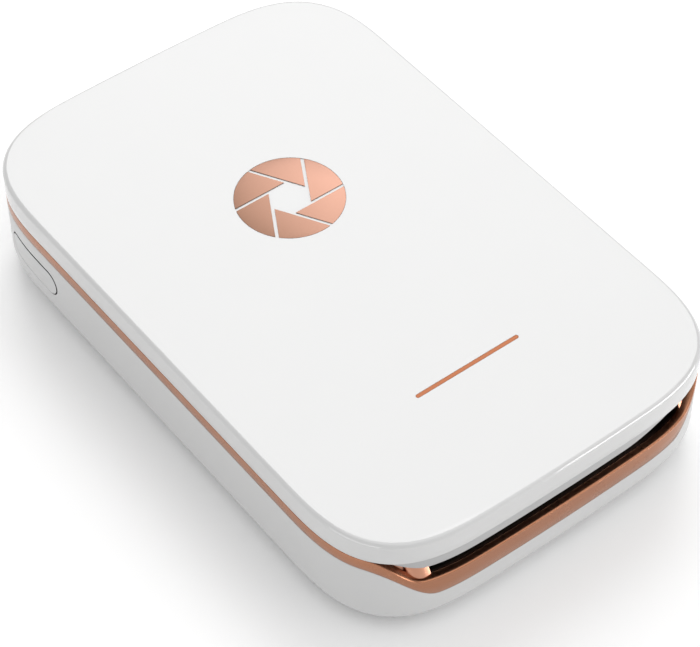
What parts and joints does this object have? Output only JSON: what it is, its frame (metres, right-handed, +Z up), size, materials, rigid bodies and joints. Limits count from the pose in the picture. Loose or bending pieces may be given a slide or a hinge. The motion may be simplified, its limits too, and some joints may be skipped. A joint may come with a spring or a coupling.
{
  "type": "pocket photo printer",
  "caption": "Pocket photo printer: rounded case with a slide-off top cover over a paper bay, front output slot, and inside a platen roller, thermal print head, pick roller and motor gear train.",
  "frame": {"origin": "middle of the case on the surface it rests on", "axes": "+X across the width, away from the power button; +Y along the length, away from the output slot; +Z up"},
  "size_m": [0.075, 0.116, 0.023],
  "materials": {
    "white_shell": "satin white moulding",
    "light_grey": "light grey moulding",
    "copper_trim": "metallic copper coating",
    "black_plastic": "fine texture",
    "grey_plastic": "plain",
    "rubber_black": "soft",
    "rubber_feet": "soft grey pads",
    "steel": "bright",
    "head_alloy": "extruded",
    "gear_plastic": "acetal",
    "brass_gear": "machined",
    "board_green": "solder mask",
    "chip_black": "moulded",
    "ivory_plastic": "plain",
    "cell_wrap": "foil pouch",
    "clear_pipe": "frosted clear",
    "red_wire": "wire sleeve",
    "blue_wire": "wire sleeve"
  },
  "bodies": {
    "case": {"trim_bezel": "copper_trim", "base_case": "white_shell", "rubber_feet": "rubber_feet", "power_switch": "grey_plastic", "usb_port": "steel", "reset_switch": "grey_plastic", "status_light_pipe": "clear_pipe", "charge_light_pipe": "clear_pipe", "case_screws": "steel", "paper_tray": "black_plastic", "frame_left": "grey_plastic", "frame_right": "grey_plastic", "frame_screws": "steel", "exit_guide": "black_plastic", "platen_bushes": "grey_plastic", "pick_bushes": "grey_plastic", "motor_can": "steel", "motor_screws": "steel", "gear_posts": "steel", "separation_pad": "rubber_black", "main_board": "board_green", "board_chips": "chip_black", "radio_module": "steel", "board_connectors": "ivory_plastic", "board_screws": "steel", "battery": "cell_wrap", "battery_lead": "red_wire", "motor_lead": "blue_wire", "head_lead": "black_plastic", "paper_sensor": "black_plastic"},
    "cover": {"top_cover": "white_shell", "cover_liner": "light_grey", "cover_badge": "copper_trim", "cover_stripe": "copper_trim", "plate_springs": "steel"},
    "press": {"pressure_plate": "black_plastic"},
    "platen": {"platen_shaft": "steel", "platen_rubber": "rubber_black", "platen_gear_right": "gear_plastic", "platen_gear_left": "gear_plastic"},
    "pick_roller": {"pick_shaft": "steel", "pick_tyres": "rubber_black", "pick_gear": "gear_plastic"},
    "idler": {"pick_idler": "gear_plastic"},
    "reduction_1": {"compound_gear_1": "gear_plastic"},
    "reduction_2": {"compound_gear_2": "gear_plastic"},
    "rotor": {"motor_shaft": "steel", "motor_pinion": "brass_gear"},
    "print_head": {"head_board": "board_green", "head_heatsink": "head_alloy", "head_pivot_pins": "steel", "head_springs": "steel"},
    "button": {"power_button": "white_shell"},
    "switch": {"switch_plunger": "black_plastic"},
    "reset": {"reset_plunger": "black_plastic"}
  },
  "joints": [
    {"name": "cover_slide", "type": "slide", "parent": "case", "child": "cover", "axis": [0, -1, 0], "range_m": [0, 0.12]},
    {"name": "plate_lift", "type": "slide", "parent": "cover", "child": "press", "axis": [0, 0, 1], "range_m": [0, 0.0025], "stiffness_N_per_m": 150, "springref_m": -0.004, "deforming": ["plate_springs"]},
    {"name": "platen_spin", "type": "hinge", "parent": "case", "child": "platen", "pos_m": [0, -0.042, 0.009], "axis": [1, 0, 0], "continuous": true},
    {"name": "reduction_2_spin", "type": "hinge", "parent": "case", "child": "reduction_2", "pos_m": [0, -0.03321, 0.0093], "axis": [1, 0, 0], "continuous": true},
    {"name": "reduction_1_spin", "type": "hinge", "parent": "case", "child": "reduction_1", "pos_m": [0, -0.02441, 0.0093], "axis": [1, 0, 0], "continuous": true},
    {"name": "rotor_spin", "type": "hinge", "parent": "case", "child": "rotor", "pos_m": [0, -0.01664, 0.0061], "axis": [1, 0, 0], "continuous": true},
    {"name": "idler_spin", "type": "hinge", "parent": "case", "child": "idler", "pos_m": [0, -0.0312, 0.00884], "axis": [1, 0, 0], "continuous": true},
    {"name": "pick_spin", "type": "hinge", "parent": "case", "child": "pick_roller", "pos_m": [0, -0.0225, 0.0129], "axis": [1, 0, 0], "continuous": true},
    {"name": "head_lift", "type": "hinge", "parent": "case", "child": "print_head", "pos_m": [0, -0.0474, 0.0145], "axis": [1, 0, 0], "range_deg": [0, 3.5], "stiffness_Nm_per_rad": 0.3, "springref_deg": -2.86},
    {"name": "button_press", "type": "slide", "parent": "case", "child": "button", "axis": [1, 0, 0], "range_m": [0, 0.0004], "stiffness_N_per_m": 1500, "springref_m": -0.0002},
    {"name": "switch_press", "type": "slide", "parent": "case", "child": "switch", "axis": [1, 0, 0], "range_m": [0, 0.0004]},
    {"name": "reset_press", "type": "slide", "parent": "case", "child": "reset", "axis": [0, -1, 0], "range_m": [0, 0.00025], "stiffness_N_per_m": 1500, "springref_m": -0.0002}
  ],
  "couplings": [
    {"joint": "reduction_2_spin", "follows": "platen_spin", "ratio": -2.1429},
    {"joint": "reduction_1_spin", "follows": "platen_spin", "ratio": 5.7143},
    {"joint": "rotor_spin", "follows": "platen_spin", "ratio": -18.286},
    {"joint": "idler_spin", "follows": "platen_spin", "ratio": -0.6875},
    {"joint": "pick_spin", "follows": "platen_spin", "ratio": 1.375},
    {"joint": "switch_press", "follows": "button_press", "ratio": 1}
  ]
}
